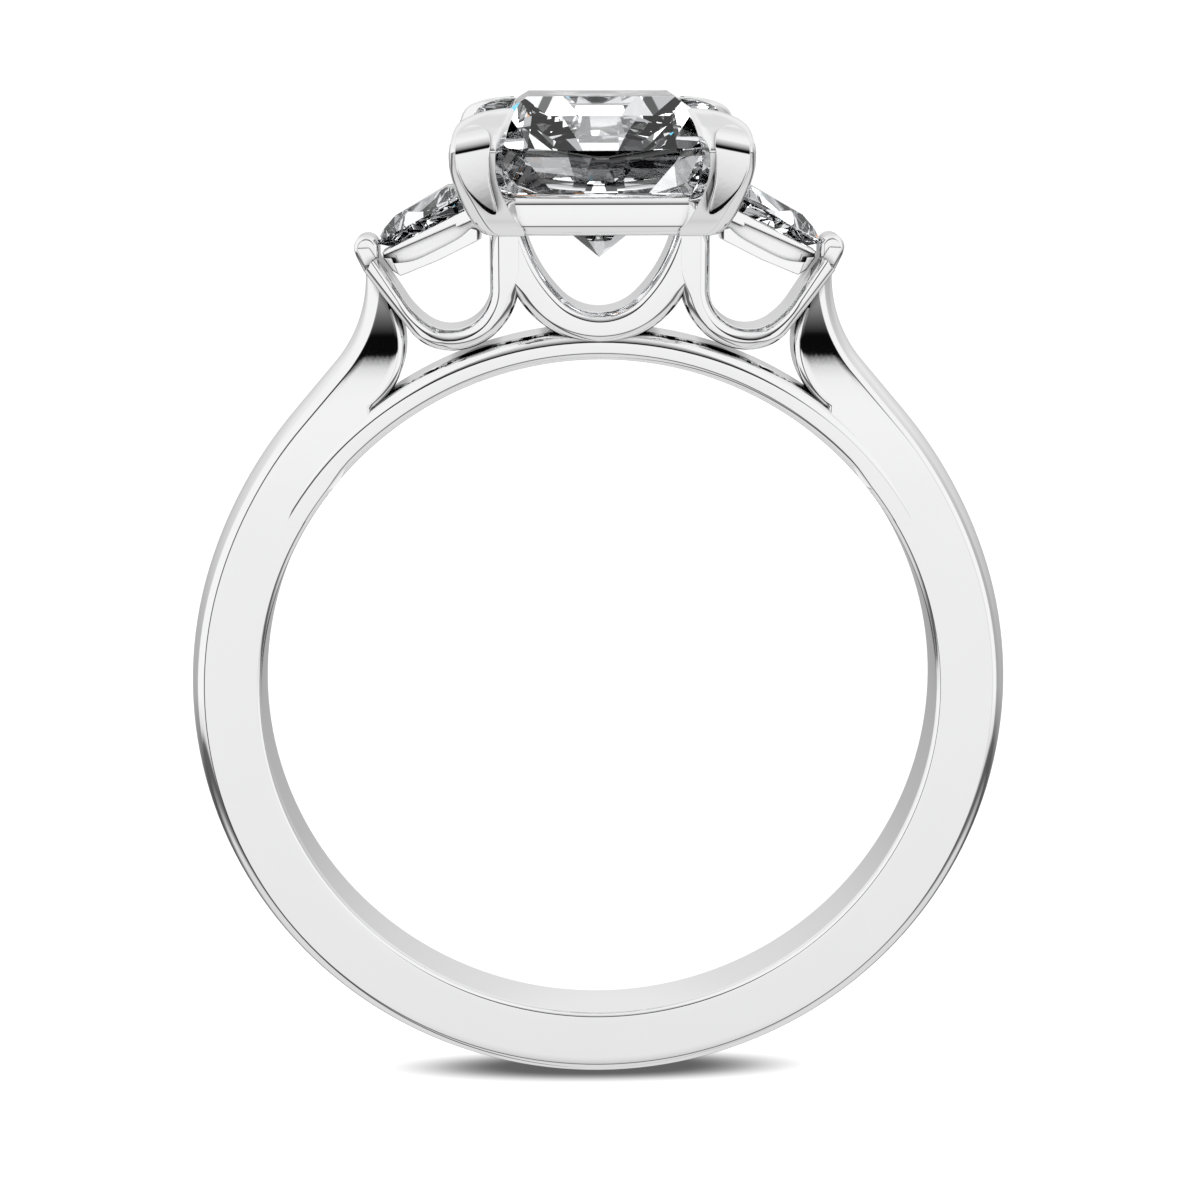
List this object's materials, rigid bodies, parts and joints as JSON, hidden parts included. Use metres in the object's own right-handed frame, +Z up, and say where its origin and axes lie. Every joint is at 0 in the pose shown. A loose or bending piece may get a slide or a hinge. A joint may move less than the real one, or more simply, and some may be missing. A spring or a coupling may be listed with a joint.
{
  "type": "three-stone engagement ring",
  "caption": "Polished white-metal finger ring with a claw-set square-cut stone between two smaller tilted side stones, on sweeping shoulders over an arched openwork gallery.",
  "frame": {"origin": "centre of the ring's box in X and Y, on the surface it lies on", "axes": "+X across the finger hole, +Y from the back of the band towards the centre stone, +Z up; the ring lies on its side, on the far edge of its band and two claws, so the finger hole's axis leans 6.88 degrees from +Z towards -Y"},
  "size_m": [0.021, 0.0257, 0.0074],
  "materials": {
    "white_metal": "mirror-polished white gold or platinum",
    "centre_gem": "clear brilliant-cut stone",
    "side_gem": "clear brilliant-cut stone"
  },
  "bodies": {
    "root": {"ring_band_and_setting": "white_metal", "centre_stone": "centre_gem", "left_side_stone": "side_gem", "right_side_stone": "side_gem"}
  },
  "joints": []
}
